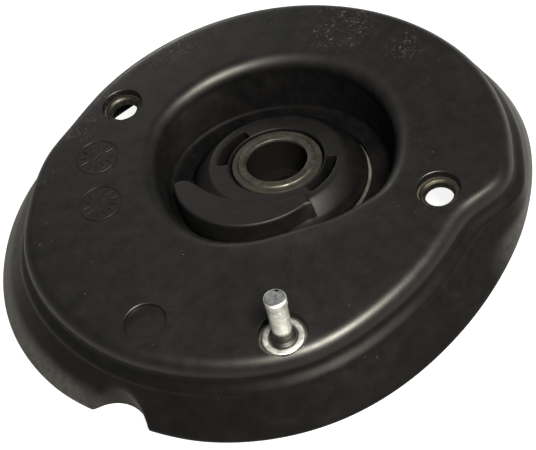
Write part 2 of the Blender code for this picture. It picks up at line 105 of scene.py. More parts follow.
def outline(stations, angles):
    """A closed cubic through the stations: on each span the ends' values and mean slopes blend."""
    known = np.array([angle for angle, _ in stations], float)
    value = np.array([offset for _, offset in stations], float)
    known = np.concatenate([known[-2:] - 360, known, known[:2] + 360])
    value = np.concatenate([value[-2:], value, value[:2]])
    slope = (value[2:] - value[:-2]) / (known[2:] - known[:-2])
    at = np.mod(np.degrees(angles), 360)
    span = np.clip(np.searchsorted(known, at, side="right") - 1, 1, len(known) - 3)
    width = known[span + 1] - known[span]
    t = (at - known[span]) / width
    start = (2 * t**3 - 3 * t**2 + 1) * value[span] + (t**3 - 2 * t**2 + t) * width * slope[span - 1]
    end = (3 * t**2 - 2 * t**3) * value[span + 1] + (t**3 - t**2) * width * slope[span]
    return start + end


def soft_least(a, b, softness):
    """The lesser of two values, with a parabola across the corner where they are nearly equal."""
    share = np.clip(0.5 + 0.5 * (b - a) / softness, 0, 1)
    return b * (1 - share) + a * share - softness * share * (1 - share)


def notch_edge(angles, inset):
    """How far the notch's wall is from the fixing axis: the near side of a circle that lies outside it.

    Away from the notch it is a metre, so that the lesser of it and the dish's own edge is the edge."""
    centre = NOTCH_REACH + NOTCH_RADIUS
    away = angles - NOTCH_ANGLE
    reach = NOTCH_RADIUS**2 - (centre * np.sin(away)) ** 2
    wall = centre * np.cos(away) - np.sqrt(np.maximum(reach, 0)) - inset
    return np.where((reach > 0) & (np.cos(away) > 0), wall, 1.0)


def dish_rows(angles, radius, drop, inset=0.0):
    """Rows of points round the fixing axis: a radius for each row and angle, a drop for each row."""
    radius = soft_least(radius, notch_edge(angles, inset), NOTCH_SOFTNESS)
    flat = [radius * np.cos(angles), radius * np.sin(angles), np.broadcast_to(TOP - drop, radius.shape)]
    return np.stack(flat, -1)


def lip_rows(angles, radius, drop):
    """Level rows round the top of the well: a circle round the strut's place for each radius and drop."""
    return STRUT_PLACE + np.stack([radius * np.cos(angles), radius * np.sin(angles), -drop], -1)


def strut_turn():
    """Turn that leans +Z over to the strut's axis."""
    hinge = Vector((-math.sin(STRUT_TOWARDS), math.cos(STRUT_TOWARDS), 0))
    return np.array(Matrix.Rotation(STRUT_TILT, 3, hinge))


def axis_rows(angles, radius, depth):
    """Rows square to the strut axis, at depths down it from the top face."""
    shape = np.broadcast_shapes(np.shape(radius), np.shape(depth), angles.shape)
    flat = [radius * np.cos(angles), radius * np.sin(angles), -depth]
    return STRUT_PLACE + np.stack([np.broadcast_to(axis, shape) for axis in flat], -1) @ strut_turn().T


def column(*values):
    """Numbers or rows of numbers as one column, a row for each."""
    return np.concatenate([np.atleast_1d(value) for value in values])[:, None]


def quarter(rows):
    """A quarter turn as a column of even steps."""
    return column(np.linspace(0, math.pi / 2, rows))


def between(first, last, rows):
    """Rows evenly between two rows, without either of them."""
    share = np.linspace(0, 1, rows + 2)[1:-1, None, None]
    return first * (1 - share) + last * share


def well_rows(angles, inset, rows):
    """Up the well: its floor, the rounded corner, the wall and the lip, pushed into the rubber by an inset.

    The wall follows the well's outline, its foot a share of it, and the lip is tighter where it strays."""
    floor = WELL_DEPTH + max(inset - RUBBER_WALL + WELL_LINER, 0)
    uneven = outline(WELL_OUTLINE, angles)
    foot = WELL_FOOT + inset + uneven * WELL_FOOT_SHARE
    bend = WELL_LIP - np.abs(uneven) * WELL_LIP_SHARE
    lip = bend - inset
    turn = quarter(rows)
    corner_radius = foot - WELL_CORNER + WELL_CORNER * np.sin(turn)
    corner = axis_rows(angles, corner_radius, floor - WELL_CORNER + WELL_CORNER * np.cos(turn))
    start = axis_rows(angles, column(FLOOR_HOLE), floor)
    over = lip_rows(angles, WELL_WALL + uneven + bend - lip * np.cos(turn), bend - lip * np.sin(turn))
    floor_rows, wall = between(start, corner[:1], rows // 2), between(corner[-1:], over[:1], rows)
    return np.concatenate([start, floor_rows, corner, wall, over])


def closed_mesh(name, rows):
    """A closed skin over rows of points: the last row joins the first, and so does the last column."""
    count, around = rows.shape[:2]
    place = np.arange(count * around).reshape(count, around)
    down, beside = np.roll(place, -1, 0), np.roll(place, -1, 1)
    both = np.roll(down, -1, 1)
    quads = np.stack([place, down, both, beside], -1).reshape(-1, 4)
    mesh = bpy.data.meshes.new(name)
    mesh.vertices.add(count * around)
    mesh.vertices.foreach_set("co", rows.reshape(-1))
    mesh.loops.add(quads.size)
    mesh.loops.foreach_set("vertex_index", quads.reshape(-1))
    mesh.polygons.add(len(quads))
    mesh.polygons.foreach_set("loop_start", np.arange(0, quads.size, 4))
    mesh.update(calc_edges=True)
    return outward(mesh)


def outward(mesh, weld=0.0):
    """Points the faces outwards, after points nearer than the weld are made one."""
    work = bmesh.new()
    work.from_mesh(mesh)
    if weld:
        bmesh.ops.remove_doubles(work, verts=work.verts[:], dist=weld)
    bmesh.ops.recalc_face_normals(work, faces=work.faces[:])
    work.to_mesh(mesh)
    work.free()
    return mesh


SHARP_EDGE = math.radians(40)


def add_piece(name, mesh, material, node=None):
    """Puts a finished mesh in the scene: it rides on the one body and replaces its node."""
    mesh.materials.clear()
    mesh.materials.append(material)
    mesh.shade_smooth()
    mesh.set_sharp_from_angle(angle=SHARP_EDGE)
    piece = bpy.data.objects.new(name, mesh)
    bpy.context.scene.collection.objects.link(piece)
    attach(piece, "root")
    if node:
        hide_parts(node)


def new_material(name, color, roughness, metallic=0.0):
    """A Principled material, with its tree, its shader and the object's own coordinates."""
    material = bpy.data.materials.new(name)
    material.use_nodes = True
    tree = material.node_tree
    shader = tree.nodes["Principled BSDF"]
    shader.inputs["Base Color"].default_value = (*color, 1.0)
    shader.inputs["Roughness"].default_value = roughness
    shader.inputs["Metallic"].default_value = metallic
    place = tree.nodes.new("ShaderNodeTexCoord").outputs["Object"]
    return material, tree, shader, place


def noise(tree, place, scale, detail=4.0, rough=0.55, distortion=0.0):
    """Cloudy noise over the object's coordinates, from 0 to 1."""
    node = tree.nodes.new("ShaderNodeTexNoise")
    node.inputs["Scale"].default_value = scale
    node.inputs["Detail"].default_value = detail
    node.inputs["Roughness"].default_value = rough
    node.inputs["Distortion"].default_value = distortion
    tree.links.new(place, node.inputs["Vector"])
    return node.outputs["Fac"]


def ramp(tree, value, low, high, start=0.0, end=1.0, smooth=True):
    """A value carried from between low and high to between start and end, and held there."""
    node = tree.nodes.new("ShaderNodeMapRange")
    node.interpolation_type = "SMOOTHSTEP" if smooth else "LINEAR"
    for socket, number in zip(("From Min", "From Max", "To Min", "To Max"), (low, high, start, end)):
        node.inputs[socket].default_value = number
    tree.links.new(value, node.inputs["Value"])
    return node.outputs["Result"]


def math_node(tree, operation, a, b=None):
    """One step of arithmetic on numbers or other nodes' values."""
    node = tree.nodes.new("ShaderNodeMath")
    node.operation = operation
    for socket, value in zip(node.inputs, (a, b)):
        if isinstance(value, (int, float)):
            socket.default_value = value
        elif value is not None:
            tree.links.new(value, socket)
    return node.outputs["Value"]


def mix_color(tree, share, first, second):
    """Two colours mixed by a share; each is three numbers or another node's colour."""
    node = tree.nodes.new("ShaderNodeMix")
    node.data_type = "RGBA"
    tree.links.new(share, node.inputs["Factor"])
    for socket, value in ((node.inputs[6], first), (node.inputs[7], second)):
        if isinstance(value, tuple):
            socket.default_value = (*value, 1.0)
        else:
            tree.links.new(value, socket)
    return node.outputs[2]


def bumps(tree, shader, layers):
    """Chains bump nodes, each with its height, its distance in metres and its strength."""
    normal = None
    for height, distance, strength in layers:
        node = tree.nodes.new("ShaderNodeBump")
        node.inputs["Distance"].default_value = distance
        node.inputs["Strength"].default_value = strength
        tree.links.new(height, node.inputs["Height"])
        if normal:
            tree.links.new(normal, node.inputs["Normal"])
        normal = node.outputs["Normal"]
    tree.links.new(normal, shader.inputs["Normal"])


def steel_sheet():
    """Dull rolled sheet: cloudy grey, brown stains and a fine grain."""
    material, tree, shader, place = new_material("pressed_steel", (0.32, 0.31, 0.29), 0.45, 1.0)
    cloud = ramp(tree, noise(tree, place, 45, 5), 0.35, 0.68)
    stain = ramp(tree, noise(tree, place, 16, 6, 0.65, 0.4), 0.52, 0.74)
    color = mix_color(tree, cloud, (0.26, 0.255, 0.24), (0.37, 0.36, 0.34))
    tree.links.new(mix_color(tree, stain, color, (0.20, 0.145, 0.095)), shader.inputs["Base Color"])
    tree.links.new(ramp(tree, noise(tree, place, 70, 5), 0.3, 0.7, 0.36, 0.58), shader.inputs["Roughness"])
    bumps(tree, shader, [
        (noise(tree, place, 900, 3), 0.00004, 0.5),
        (noise(tree, place, 60, 3), 0.0003, 0.25),
    ])
    return material


def carrier_side(angles, inset, rows):
    """Over the carrier's shoulder and down its rim, which follows the plate's outline at an inset."""
    edge = PLATE_RADIUS + outline(PLATE_OUTLINE, angles)
    bend = max(SHOULDER_ROUND - inset, LEAST_BEND)
    turn = quarter(rows)
    radius, drop = edge - inset - bend + bend * np.sin(turn), inset + bend - bend * np.cos(turn)
    over = dish_rows(angles, radius, drop, inset)
    end = dish_rows(angles, (edge - inset)[None], column(RIM_DROP), inset)
    return np.concatenate([over, between(over[-1:], end, 3), end])


def carrier_skin(angles, inset, rows):
    """One side of the sheet: up the well, across the flat and down over the shoulder."""
    well, side = well_rows(angles, inset, rows)[1:], carrier_side(angles, inset, rows)
    return np.concatenate([well, between(well[-1:], side[:1], rows), side])


def carrier_mesh():
    """The sheet's upper and lower sides, one steel apart, joined round the rim and the upturned collar."""
    angles = sweep_angles(*CARRIER_STEPS)
    upper, lower = RUBBER_WALL + GAP, RUBBER_WALL + GAP + STEEL
    inner = SHELL_RADIUS + GAP
    floor_upper, floor_lower = (WELL_DEPTH + inset - RUBBER_WALL + WELL_LINER for inset in (upper, lower))
    collar_radius = column(inner, inner, inner + STEEL, inner + STEEL)
    collar = axis_rows(angles, collar_radius, column(floor_lower, SHELL_TOP, SHELL_TOP, floor_upper))
    skins = [carrier_skin(angles, inset, CARRIER_ROWS) for inset in (upper, lower)]
    return closed_mesh("carrier", np.concatenate([collar, skins[0], skins[1][::-1]]) + FIXING_CENTRE)


FIXING_HOLES = {"right": (0.0708, -0.0358), "left": (-0.0431, 0.0658)}
STUD_PLACE = (-0.0055, -0.0788)
COLLAR_BORE = 0.0058
COLLAR_WALL = 0.0012
STUD_HOLE_RADIUS = 0.0046
CARRIER_TOP = TOP - RUBBER_WALL - GAP
RING_STEPS = 96


def lathe_mesh(name, profile, matrix=None, steps=128):
    """A closed profile of (radius, height) points turned about Z, then set in place by a matrix."""
    turn = np.linspace(0, FULL_TURN, steps, endpoint=False)
    radius, height = (np.array(values)[:, None] for values in zip(*profile))
    shape = (len(profile), steps)
    rows = np.stack([radius * np.cos(turn), radius * np.sin(turn), np.broadcast_to(height, shape)], -1)
    mesh = closed_mesh(name, rows)
    if matrix is not None:
        mesh.transform(matrix)
    return mesh


def worked(mesh, shapes, finish=None):
    """Joins or cuts a list of (operation, shape), adds a last modifier or two, and gives back the result."""
    body = bpy.data.objects.new("body", mesh)
    bpy.context.scene.collection.objects.link(body)
    made = [body]
    for operation, shape in shapes:
        other = bpy.data.objects.new("shape", shape)
        bpy.context.scene.collection.objects.link(other)
        made.append(other)
        step = body.modifiers.new("step", "BOOLEAN")
        step.object, step.operation, step.solver = other, operation, "EXACT"
    if finish:
        finish(body)
    bpy.context.view_layer.update()
    graph = bpy.context.evaluated_depsgraph_get()
    result = bpy.data.meshes.new_from_object(body.evaluated_get(graph))
    for item in made:
        bpy.data.objects.remove(item, do_unlink=True)
    return result


def drilled(mesh, cutters):
    """Cuts the meshes of a list out of a mesh."""
    return worked(mesh, [("DIFFERENCE", cutter) for cutter in cutters])


def on_top(place, height):
    """The turn-free matrix that moves a thing to a place in plan, from the fixing axis, and a height."""
    return Matrix.Translation((place[0] + FIXING_CENTRE[0], place[1] + FIXING_CENTRE[1], height))


def plug_mesh(place, radius, low, high):
    """A plain round plug between two heights, for a hole through a sheet."""
    mesh = bpy.data.meshes.new("plug")
    work = bmesh.new()
    middle = on_top(place, (low + high) / 2)
    bmesh.ops.create_cone(work, cap_ends=True, segments=RING_STEPS, radius1=radius, radius2=radius,
                          depth=high - low, matrix=middle)
    work.to_mesh(mesh)
    work.free()
    return mesh


through = (CARRIER_TOP - 2 * STEEL, CARRIER_TOP + STEEL)
spigot = COLLAR_BORE + COLLAR_WALL + GAP
holes = [plug_mesh(place, spigot, *through) for place in FIXING_HOLES.values()]
holes.append(plug_mesh(STUD_PLACE, STUD_HOLE_RADIUS, *through))
sheet = steel_sheet()
add_piece("carrier", drilled(carrier_mesh(), holes), sheet, "carrier_plate")


# The moulded rubber dish, bonded over the carrier in one shot: the lip of the well, the flat face that beds
# on the body, the uneven shoulder and the skirt that flares to a lipped hem, with a scooped notch at left.
# Round recesses leave the fixings bare. Black natural rubber, dusty, with pale scuffs on its proud places.
HEM_RADIUS = 0.1098
HEM_OUTLINE = (
    (0, 0.0105), (12, 0.0130), (25, 0.0130), (45, 0.0070), (70, 0.0000), (95, -0.0030),
    (120, -0.0020), (145, 0.0040), (165, 0.0060), (185, 0.0059), (205, 0.0026), (225, -0.0027),
    (245, -0.0034), (270, -0.0044), (300, -0.0061), (320, -0.0038), (340, 0.0026),
)
SHOULDER_FOOT = 0.0075
WAIST_FOOT = 0.0130
WAIST_STEP = 0.0042
HEM_WIDTH = 0.0045
HEM_ROUND = 0.0010
RECESS_RADIUS = 0.0089
STUD_RECESS_RADIUS = 0.0098
RECESS_ROUND = 0.0006
BLIND_PLACE = (-0.0552, -0.0533)
BLIND_RADIUS = 0.0085
BLIND_DEPTH = 0.0015
DISH_STEPS = (0.66, 0.3)
CUTTER_RISE = 0.004
WELD = 0.000001


def dish_side(angles, inset, rows):
    """Over the shoulder, down its short steep wall, in an S through the waist and out along the flare."""
    edge = PLATE_RADIUS + outline(PLATE_OUTLINE, angles)
    hem = HEM_RADIUS + outline(HEM_OUTLINE, angles) - inset
    bend = SHOULDER_ROUND - inset
    turn = quarter(rows)
    radius, drop = edge - SHOULDER_ROUND + bend * np.sin(turn), SHOULDER_ROUND - bend * np.cos(turn)
    over = dish_rows(angles, radius, drop, inset)
    share = np.linspace(0, 1, 3 * rows)[1:, None]
    ease = share**2 * (3 - 2 * share)
    radius, drop = edge - inset + ease * WAIST_STEP, SHOULDER_FOOT + share * (WAIST_FOOT - SHOULDER_FOOT)
    waist = dish_rows(angles, radius, drop, inset)
    flare = np.linspace(0, 1, 2 * rows + 1)[1:, None]
    low = TOP - 2 * HEM_ROUND if inset == 0 else TOP - HEM_WIDTH / 2
    radius = (edge - inset + WAIST_STEP) * (1 - flare) + hem * flare
    down = dish_rows(angles, radius, WAIST_FOOT + flare * (low - WAIST_FOOT), inset)
    return np.concatenate([over, between(over[-1:], waist[:1], 2), waist, down])


def hem_rows(angles):
    """Round the lip of the hem, and in along the flat that the dish stands on."""
    hem = HEM_RADIUS + outline(HEM_OUTLINE, angles)
    turn = quarter(5)
    radius, drop = hem - HEM_ROUND + HEM_ROUND * np.cos(turn), TOP - HEM_ROUND + HEM_ROUND * np.sin(turn)
    lip = dish_rows(angles, radius, drop)
    foot = dish_rows(angles, (hem - HEM_WIDTH)[None], column(TOP), HEM_WIDTH)
    return np.concatenate([lip, between(lip[-1:], foot, 2), foot])


def dish_mesh():
    """The outer skin from the well to the hem, and back under it by an inner skin one wall of rubber in."""
    angles = sweep_angles(*DISH_STEPS)
    well, side = well_rows(angles, 0.0, 10), dish_side(angles, 0.0, 8)
    inner_well, inner_side = well_rows(angles, RUBBER_WALL, 5), dish_side(angles, RUBBER_WALL, 3)
    flat = between(well[-1:], side[:1], 12)
    inner_flat = between(inner_well[-1:], inner_side[:1], 5)
    rows = [well, flat, side, hem_rows(angles), inner_side[::-1], inner_flat[::-1], inner_well[::-1]]
    return closed_mesh("dish", np.concatenate(rows) + FIXING_CENTRE)


def recess_cutter(place, radius, depth):
    """A turned cutter for a recess, flared at the top so that the rubber's edge comes out rounded."""
    turn = np.linspace(0, math.radians(72), 6)
    flare = [(radius + RECESS_ROUND * (1 - math.cos(a)), RECESS_ROUND * (math.sin(a) - 1)) for a in turn]
    top = flare[-1][0]
    profile = [(0.0, CUTTER_RISE), (top, CUTTER_RISE), (top, flare[-1][1])] + flare[-2::-1]
    profile += [(radius, -depth), (0.0, -depth)]
    return outward(lathe_mesh("recess", profile, on_top(place, TOP), RING_STEPS), WELD)


def within(tree, place, centre, reach, fade):
    """A share that is 1 inside a ball of that reach and falls to 0 over the fade outside it."""
    far = tree.nodes.new("ShaderNodeVectorMath")
    far.operation = "DISTANCE"
    far.inputs[1].default_value = tuple(centre)
    tree.links.new(place, far.inputs[0])
    return ramp(tree, far.outputs["Value"], reach + fade, reach)


def spots(tree, place, marks):
    """The most of a set of round soft marks, each given by its middle and its reach, in plan."""
    flat = tree.nodes.new("ShaderNodeVectorMath")
    flat.operation = "MULTIPLY"
    flat.inputs[1].default_value = (1, 1, 0)
    tree.links.new(place, flat.inputs[0])
    total = None
    for x, y, reach in marks:
        mark = within(tree, flat.outputs[0], (x, y, 0), 0.25 * reach, 0.75 * reach)
        total = mark if total is None else math_node(tree, "MAXIMUM", total, mark)
    return total


# Where the photo shows chalky rubs, as (x, y, reach)
SCUFFS = (
    (-0.020, 0.098, 0.024), (0.004, 0.104, 0.016), (0.058, 0.070, 0.022), (-0.067, 0.060, 0.014),
    (-0.090, 0.040, 0.012), (0.082, 0.045, 0.013), (-0.052, 0.075, 0.010),
)
RUBBER_SHEEN = 0.45
WELL_REACH = 0.0500
WELL_FADE = 0.0070
SKIRT_SHADE = (0.0045, 0.0080)
# Heights over which the hem's left and right ends carry a painted highlight.
HEM_HIGHLIGHT = (0.0110, 0.0050)
HEM_ENDS = (0.075, 0.100)


def moulded_rubber(name, dusty, shade_from, shade_to, shade_start=0.0):
    """Black rubber: carbon black, a trace of grey dust, chalky scuffs, pale specks and a mould's fine grain.

    Down in the well, between two drops below the top face, and on the skirt, the sheen is cut down as
    painted shade. At the hem's left and right ends the sheen is kept and a pale mottled colour is painted
    on, as a painted highlight."""
    material, tree, shader, place = new_material(name, (0.003, 0.003, 0.003), 0.4)
    well = within(tree, place, STRUT_PLACE, WELL_REACH, WELL_FADE)
    axes = tree.nodes.new("ShaderNodeSeparateXYZ")
    tree.links.new(place, axes.inputs[0])
    height = axes.outputs["Z"]
    # Sheen cut down deeper in the well: painted shade.
    deep = ramp(tree, height, TOP - shade_from, TOP - shade_to, shade_start, 0.43)
    deep = math_node(tree, "MULTIPLY", deep, well)
    # Sheen cut down on the skirt: painted shade.
    low = ramp(tree, height, TOP - SKIRT_SHADE[0], TOP - SKIRT_SHADE[1], 0.0, 0.30)
    low = math_node(tree, "MULTIPLY", low, math_node(tree, "SUBTRACT", 1.0, well))
    # The hem's left and right ends get a painted highlight: pale mottled colour and kept sheen.
    ends = ramp(tree, math_node(tree, "ABSOLUTE", axes.outputs["X"]), *HEM_ENDS)
    hem = math_node(tree, "MULTIPLY", ramp(tree, height, *HEM_HIGHLIGHT), ends)
    # The sheen cut is painted shade; at the hem's ends it is eased, as a painted highlight.
    dull = math_node(tree, "MAXIMUM", deep, low)
    dull = math_node(tree, "SUBTRACT", dull, math_node(tree, "MULTIPLY", hem, 0.30))
    sheen = math_node(tree, "SUBTRACT", RUBBER_SHEEN, dull)
    tree.links.new(sheen, shader.inputs["Specular IOR Level"])
    mottle = ramp(tree, noise(tree, place, 150, 6, 0.65), 0.3, 0.7)
    color = mix_color(tree, mottle, (0.0019, 0.0019, 0.0022), (0.0036, 0.0035, 0.0038))
    film = ramp(tree, noise(tree, place, 34, 9, 0.72, 0.6), 0.50, 0.78, 0.0, 0.035 * dusty)
    color = mix_color(tree, film, color, (0.110, 0.106, 0.102))
    highlight_mottle = ramp(tree, noise(tree, place, 210, 6, 0.7, 0.8), 0.30, 0.75, 0.4, 1.0)
    # Pale colour on the hem's ends: painted highlight.
    color = mix_color(tree, math_node(tree, "MULTIPLY", hem, highlight_mottle), color, (0.044, 0.043, 0.042))
    streaks = ramp(tree, noise(tree, place, 420, 6, 0.66, 1.5), 0.54, 0.68)
    rubbed = math_node(tree, "MULTIPLY", streaks, spots(tree, place, SCUFFS))
    color = mix_color(tree, math_node(tree, "MULTIPLY", rubbed, 0.20 * dusty), color, (0.20, 0.195, 0.18))
    grit = ramp(tree, noise(tree, place, 1150, 2, 0.5), 0.765, 0.80)
    few = ramp(tree, noise(tree, place, 60, 2), 0.50, 0.60)
    specks = math_node(tree, "MULTIPLY", math_node(tree, "MULTIPLY", grit, few), 0.8 * dusty)
    color = mix_color(tree, specks, color, (0.30, 0.29, 0.27))
    tree.links.new(color, shader.inputs["Base Color"])
    gloss = ramp(tree, noise(tree, place, 160, 7, 0.7), 0.3, 0.72, 0.38, 0.45)
    gloss = math_node(tree, "ADD", gloss, math_node(tree, "MULTIPLY", well, 0.12))
    gloss = math_node(tree, "ADD", gloss, math_node(tree, "MULTIPLY", rubbed, 0.2))
    tree.links.new(gloss, shader.inputs["Roughness"])
    bumps(tree, shader, [
        (noise(tree, place, 60, 4), 0.0004, 0.05),
        (noise(tree, place, 420, 5, 0.65), 0.00008, 0.45),
        (noise(tree, place, 1700, 3, 0.6), 0.00003, 0.5),
    ])
    return material


cutters = [recess_cutter(place, RECESS_RADIUS, 2 * RUBBER_WALL) for place in FIXING_HOLES.values()]
cutters.append(recess_cutter(STUD_PLACE, STUD_RECESS_RADIUS, 2 * RUBBER_WALL))
cutters.append(recess_cutter(BLIND_PLACE, BLIND_RADIUS, BLIND_DEPTH))
black_rubber = moulded_rubber("black_rubber", 1.0, -0.0020, 0.0060)
add_piece("dish", drilled(dish_mesh(), cutters), black_rubber, "rubber_cover")


# Two date dials that the mould left on the left of the top face: a low ring, short plain ticks, a pointer.
# The photo's marks can't be read, so the ticks carry no letters or numbers. A dial is (x, y, radius, turn).
DIALS = ((-0.0591, 0.0397, 0.0092, 15.0), (-0.0621, 0.0135, 0.0090, 65.0))
DIAL_RISE = 0.00026
DIAL_SINK = 0.00004
DIAL_RIDGE = 0.00032
DIAL_CREST = DIAL_RIDGE / 3
DIAL_TICKS = 12
TICK_STARTS = (0.48, 0.56, 0.56)
TICK_END = 0.80
POINTER_TURN = 20.0
POINTER_ENDS = (-0.22, 0.26)
BLOCK_FACES = ((0, 1, 2, 3), (4, 5, 6, 7), (0, 1, 5, 4), (1, 2, 6, 5), (2, 3, 7, 6), (3, 0, 4, 7))


def ridge_blocks(ridges):
    """Low blocks with sloping sides, each from one point to another on the top face, as points and faces.

    A corner is an end of the ridge, moved out along it and across it by half a width, at foot and crest."""
    start, end = np.array(ridges).transpose(1, 0, 2)
    along = (end - start) / np.linalg.norm(end - start, axis=1, keepdims=True)
    across = np.stack([-along[:, 1], along[:, 0]], -1)
    corners = []
    for height, spread in ((-DIAL_SINK, DIAL_RIDGE), (DIAL_RISE, DIAL_CREST)):
        for place, way, side in ((start, -1, 1), (start, -1, -1), (end, 1, -1), (end, 1, 1)):
            flat = place + spread * (way * along + side * across)
            corners.append(np.column_stack([flat, np.full(len(flat), TOP + height)]))
    faces = np.array(BLOCK_FACES) + len(corners) * np.arange(len(ridges))[:, None, None]
    return np.stack(corners, 1).reshape(-1, 3), faces.reshape(-1, 4).tolist()


def way_at(degrees):
    """The direction in plan at an angle."""
    return np.array([math.cos(math.radians(degrees)), math.sin(math.radians(degrees))])


def dials_mesh():
    """The rings, turned, a pointer across the middle of each, and the ticks, every third one longer."""
    ridges, work = [], bmesh.new()
    for x, y, radius, tilt in DIALS:
        centre = np.array([x, y]) + FIXING_CENTRE[:2]
        profile = [
            (radius - DIAL_RIDGE, -DIAL_SINK), (radius - DIAL_CREST, DIAL_RISE),
            (radius + DIAL_CREST, DIAL_RISE), (radius + DIAL_RIDGE, -DIAL_SINK),
        ]
        work.from_mesh(lathe_mesh("ring", profile, Matrix.Translation((*centre, TOP)), RING_STEPS))
        for k in range(DIAL_TICKS):
            way = radius * way_at(tilt + 360 * k / DIAL_TICKS)
            ridges.append((centre + TICK_STARTS[k % 3] * way, centre + TICK_END * way))
        way = radius * way_at(tilt + POINTER_TURN)
        ridges.append([centre + share * way for share in POINTER_ENDS])
    points, faces = ridge_blocks(ridges)
    blocks = bpy.data.meshes.new("ticks")
    blocks.from_pydata(points, [], faces)
    work.from_mesh(blocks)
    mesh = bpy.data.meshes.new("date_dials")
    work.to_mesh(mesh)
    work.free()
    return outward(mesh)


add_piece("date_dials", dials_mesh(), black_rubber)


# The bush's outer shell: a ring cut from steel tube. It is bonded to the bush's rubber and pressed into the
# carrier's collar; the bush's flange covers its end, so it shows only from below.
SHELL_WALL = 0.0022
SHELL_BOTTOM = WELL_DEPTH + GAP + STEEL + WELL_LINER
strut_matrix = Matrix.Translation(Vector(STRUT_PLACE + FIXING_CENTRE)) @ Matrix(strut_turn()).to_4x4()
ring = [(SHELL_RADIUS - SHELL_WALL, -SHELL_TOP), (SHELL_RADIUS, -SHELL_TOP)]
ring += [(SHELL_RADIUS, -SHELL_BOTTOM), (SHELL_RADIUS - SHELL_WALL, -SHELL_BOTTOM)]
add_piece("bush_tube", lathe_mesh("bush_tube", ring, strut_matrix), sheet, "bush_shell")


# The bush: a block of rubber moulded between the shell and the sleeve, with a flat head, a cone down to its
# flange, two curved slots that soften it one way, and a raised crescent that stops it against the well.
SLEEVE_TOP = 0.0067
SLEEVE_BORE = 0.0131
SLEEVE_FLANGE_RADIUS = 0.0193
SLEEVE_BODY_RADIUS = 0.0168
SLEEVE_FLANGE = 0.0035
SLEEVE_STEP = 0.0009
GROOVE_WIDTH = 0.0010
GROOVE_RADIUS = SLEEVE_FLANGE_RADIUS + GROOVE_WIDTH
HEAD_SINK = 0.0002
HEAD_RADIUS = 0.0285
HEAD_BEVEL = 0.0005
HEAD_SLOPE = 0.0010
KNEE_RADIUS = 0.0355
KNEE_DROP = 0.0056
FLANGE_OVERHANG = 0.0018
FLANGE_RADIUS = SHELL_RADIUS + FLANGE_OVERHANG
FLANGE_DEPTH = SHELL_TOP - GAP
FLANGE_EDGE = 0.0024
FLANGE_BEVEL = 0.0010
SLOT_WALL = 0.0007
SLOT_WIDTH = 0.0046
SLOT_INNER = GROOVE_RADIUS + SLOT_WALL
SLOT_OUTER = SLOT_INNER + SLOT_WIDTH
SLOT_ARC = 54.0
SLOT_ANGLE = 138.0
CRESCENT_CENTRE = (-0.0120, -0.0040)
CRESCENT_RADIUS = 0.0331
CRESCENT_ARC = (173, 300)
CRESCENT_INNER_CENTRE = (0.0059, 0.0189)
CRESCENT_INNER_RADIUS = 0.0472
CRESCENT_INNER_ARC = (255, 209)
CRESCENT_TOP = 0.0045
CRESCENT_END = math.radians(-77.0)
CRESCENT_END_REACHES = (HEAD_RADIUS + 0.0050, HEAD_RADIUS - 0.0017)
CRESCENT_HORN = Vector((0.0006, 0.0054))
CRESCENT_FOOT = KNEE_RADIUS + 0.0005
CRESCENT_BEVEL = 0.0009
BUSH_VOXEL = 0.00042
BUSH_STEPS = 160


def curve(first, pull, last, shares):
    """Points on the quadratic curve from the first to the last that the middle one pulls on."""
    return [tuple((1 - t) ** 2 * first + 2 * t * (1 - t) * pull + t**2 * last) for t in shares]


def arc(centre, radius, start, end, count):
    """Points round a centre from one angle to another, in degrees."""
    turn = np.radians(np.linspace(start, end, count))
    return list(zip(centre[0] + radius * np.cos(turn), centre[1] + radius * np.sin(turn)))


def slab_mesh(name, foot, top, low, high, bevel=0.0):
    """A solid from the outline of its foot up to that of its top, whose edge is bevelled."""
    work = bmesh.new()
    loops = []
    for points, height in ((foot, low), (top, high)):
        loops.append([work.verts.new((x, y, height)) for x, y in points])
        work.faces.new(loops[-1])
    for k, vert in enumerate(loops[0]):
        work.faces.new((loops[0][k - 1], vert, loops[1][k], loops[1][k - 1]))
    bmesh.ops.recalc_face_normals(work, faces=work.faces[:])
    if bevel:
        crest = [edge for edge in work.edges if all(vert in loops[1] for vert in edge.verts)]
        bmesh.ops.bevel(work, geom=crest, offset=bevel, segments=3, profile=0.5, affect="EDGES")
    mesh = bpy.data.meshes.new(name)
    work.to_mesh(mesh)
    work.free()
    return mesh


def bush_profile():
    """The turned section, from the groove over the head, the knee and the cone, and back up the bore."""
    head, body = -SLEEVE_TOP - HEAD_SINK, SLEEVE_BODY_RADIUS + GAP
    under_flange, brim = -SLEEVE_TOP - SLEEVE_FLANGE - GAP, -FLANGE_DEPTH + FLANGE_EDGE
    neck = SHELL_RADIUS - SHELL_WALL - GAP
    return [
        (GROOVE_RADIUS, head - 2 * SLEEVE_STEP), (GROOVE_RADIUS, head - HEAD_BEVEL),
        (GROOVE_RADIUS + HEAD_BEVEL, head), (HEAD_RADIUS, head),
        (HEAD_RADIUS + HEAD_SLOPE, head - HEAD_BEVEL), (KNEE_RADIUS, head - KNEE_DROP),
        (FLANGE_RADIUS - FLANGE_BEVEL, brim + FLANGE_BEVEL), (FLANGE_RADIUS, brim),
        (FLANGE_RADIUS, -FLANGE_DEPTH), (neck, -FLANGE_DEPTH), (neck, -SHELL_BOTTOM), (body, -SHELL_BOTTOM),
        (body, under_flange), (GROOVE_RADIUS, under_flange),
    ]


